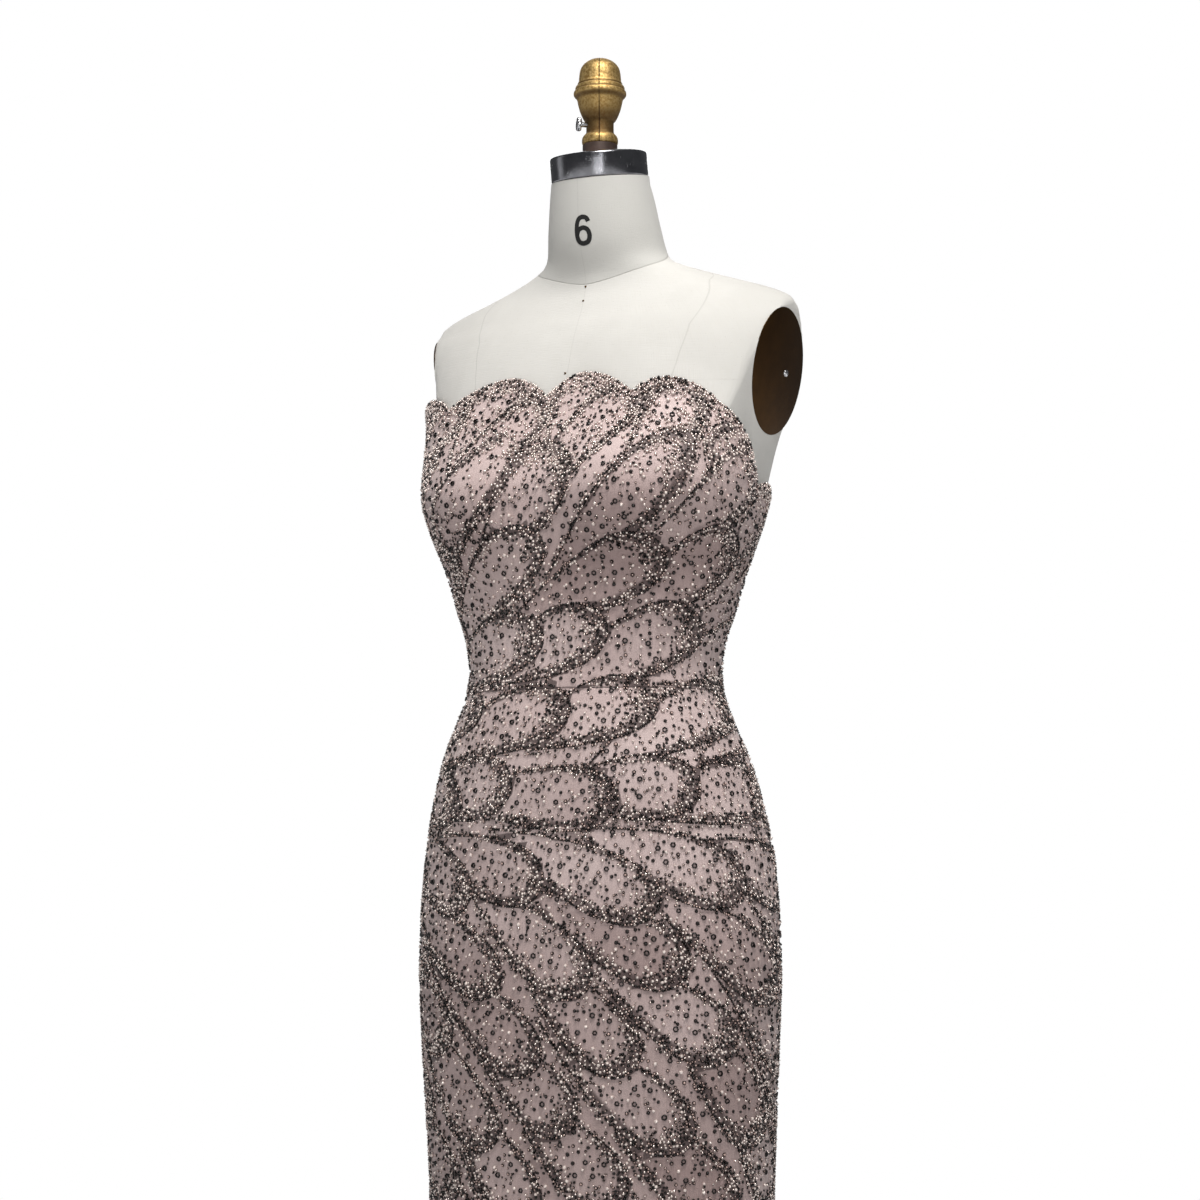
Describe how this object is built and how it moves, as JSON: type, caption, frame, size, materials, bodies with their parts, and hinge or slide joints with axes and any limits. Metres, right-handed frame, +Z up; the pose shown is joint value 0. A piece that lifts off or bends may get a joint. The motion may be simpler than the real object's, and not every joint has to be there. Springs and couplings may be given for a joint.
{
  "type": "evening gown on a dress form",
  "caption": "Floor-length strapless evening gown with overlapping beaded petals and a scalloped top edge, worn by a limbless dress form on a round stand.",
  "frame": {"origin": "on the floor under the pole, on the underside of the stand's base", "axes": "+Z up, -Y the front of the gown, +X the wearer's left"},
  "size_m": [0.4072, 0.3819, 1.6849],
  "materials": {
    "beaded_net": "soft satin under sheer net",
    "canvas": "matte woven canvas",
    "dark_steel": "dark polished",
    "plated_steel": "polished",
    "gold_paint": "worn antique gold",
    "bronze_paint": "satin bronze",
    "dark_paint": "satin dark paint",
    "zip_metal": "dyed to match the cloth",
    "dark_beads": "glossy",
    "silver_beads": "silver lined",
    "pale_beads": "pearly"
  },
  "bodies": {
    "form": {"bodice_front": "beaded_net", "bodice_back_left": "beaded_net", "bodice_back_right": "beaded_net", "skirt_front": "beaded_net", "skirt_back_left": "beaded_net", "skirt_back_right": "beaded_net", "back_zip": "zip_metal", "zip_slider": "zip_metal", "form_torso": "canvas", "form_arm_plate_left": "bronze_paint", "form_arm_screw_left": "plated_steel", "form_arm_plate_right": "bronze_paint", "form_arm_screw_right": "plated_steel", "form_neck_cap": "dark_steel", "form_bush": "dark_paint", "form_finial": "gold_paint", "form_base": "dark_paint", "form_pole": "plated_steel"},
    "pull_tab": {"zip_pull_tab": "zip_metal"},
    "clamp_screw": {"form_clamp_screw": "plated_steel"}
  },
  "joints": [
    {"name": "pull_tab_hinge", "type": "hinge", "parent": "form", "child": "pull_tab", "pos_m": [0, 0.11113, 1.23], "axis": [1, 0, 0], "range_deg": [0, 150]},
    {"name": "clamp_screw_turn", "type": "hinge", "parent": "form", "child": "clamp_screw", "pos_m": [-0.01532, -0.01286, 1.619], "axis": [0.766, 0.6428, 0], "continuous": true}
  ]
}
